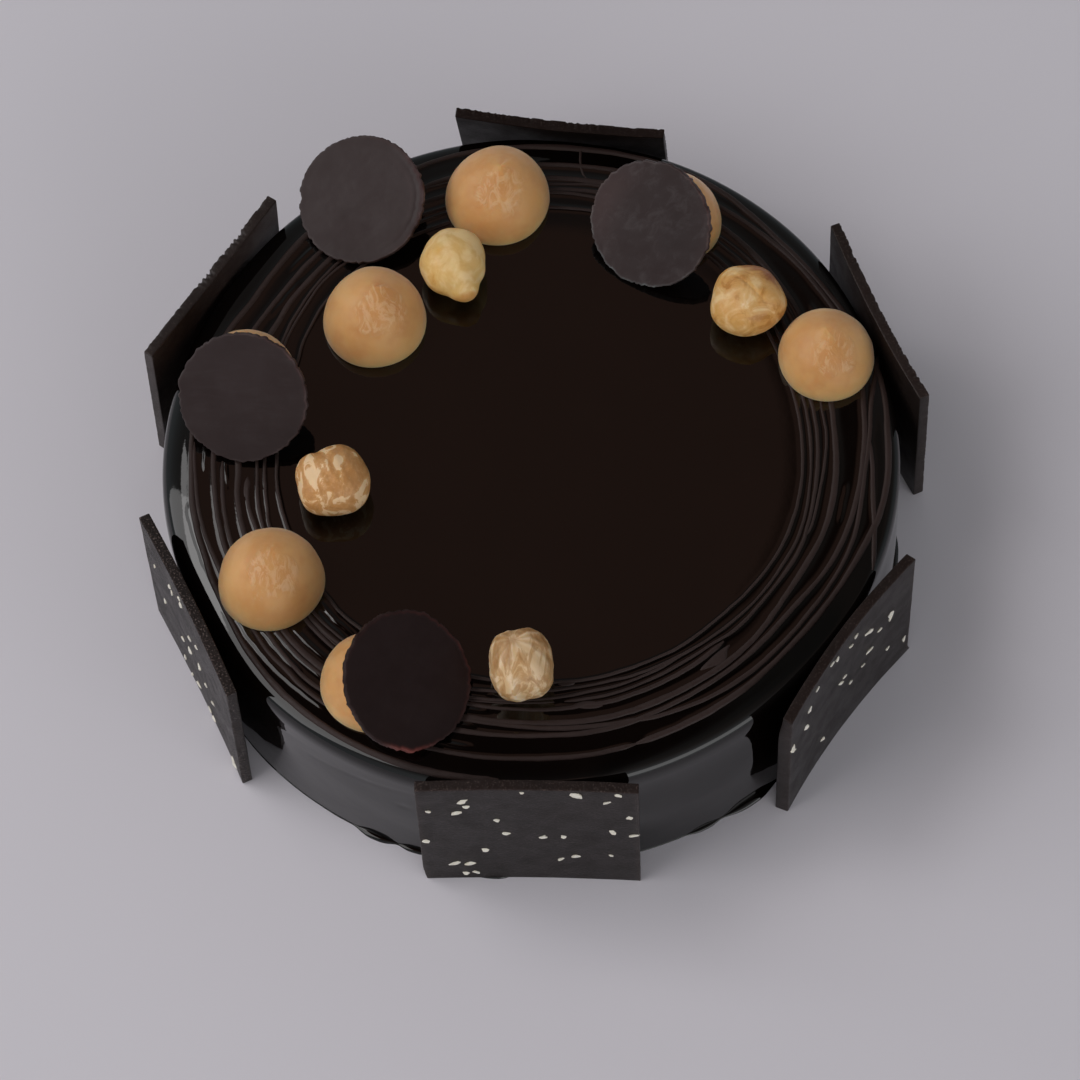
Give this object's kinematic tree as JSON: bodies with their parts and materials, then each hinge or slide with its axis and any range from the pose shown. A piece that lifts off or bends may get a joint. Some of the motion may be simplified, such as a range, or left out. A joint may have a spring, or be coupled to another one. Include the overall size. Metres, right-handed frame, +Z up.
{
  "type": "round chocolate glazed cake",
  "caption": "Round uncut chocolate cake with a mirror glaze, piped caramel domes, thin chocolate discs and whole hazelnuts on top, and square chocolate plaques standing round its side.",
  "frame": {"origin": "centre of the cake's flat round base", "axes": "+Z up, -Y towards the cake's front, +X to its right"},
  "size_m": [0.1926, 0.2025, 0.0683],
  "materials": {
    "glaze": "mirror-glossy dark chocolate glaze",
    "caramel": "satin caramel cream",
    "disc_chocolate": "matt set chocolate",
    "hazelnut": "peeled roasted nut",
    "plaque_chocolate": "semi-matt set chocolate"
  },
  "bodies": {
    "root": {"cake_body": "glaze", "dome_1": "caramel", "dome_2": "caramel", "dome_3": "caramel", "dome_4": "caramel", "dome_5": "caramel", "dome_6": "caramel", "dome_7": "caramel", "dome_8": "caramel", "disc_1": "disc_chocolate", "disc_2": "disc_chocolate", "disc_3": "disc_chocolate", "disc_4": "disc_chocolate", "hazelnut_1": "hazelnut", "hazelnut_2": "hazelnut", "hazelnut_3": "hazelnut", "hazelnut_4": "hazelnut", "plaque_1": "plaque_chocolate", "plaque_2": "plaque_chocolate", "plaque_3": "plaque_chocolate", "plaque_4": "plaque_chocolate", "plaque_5": "plaque_chocolate", "plaque_6": "plaque_chocolate"}
  },
  "joints": []
}
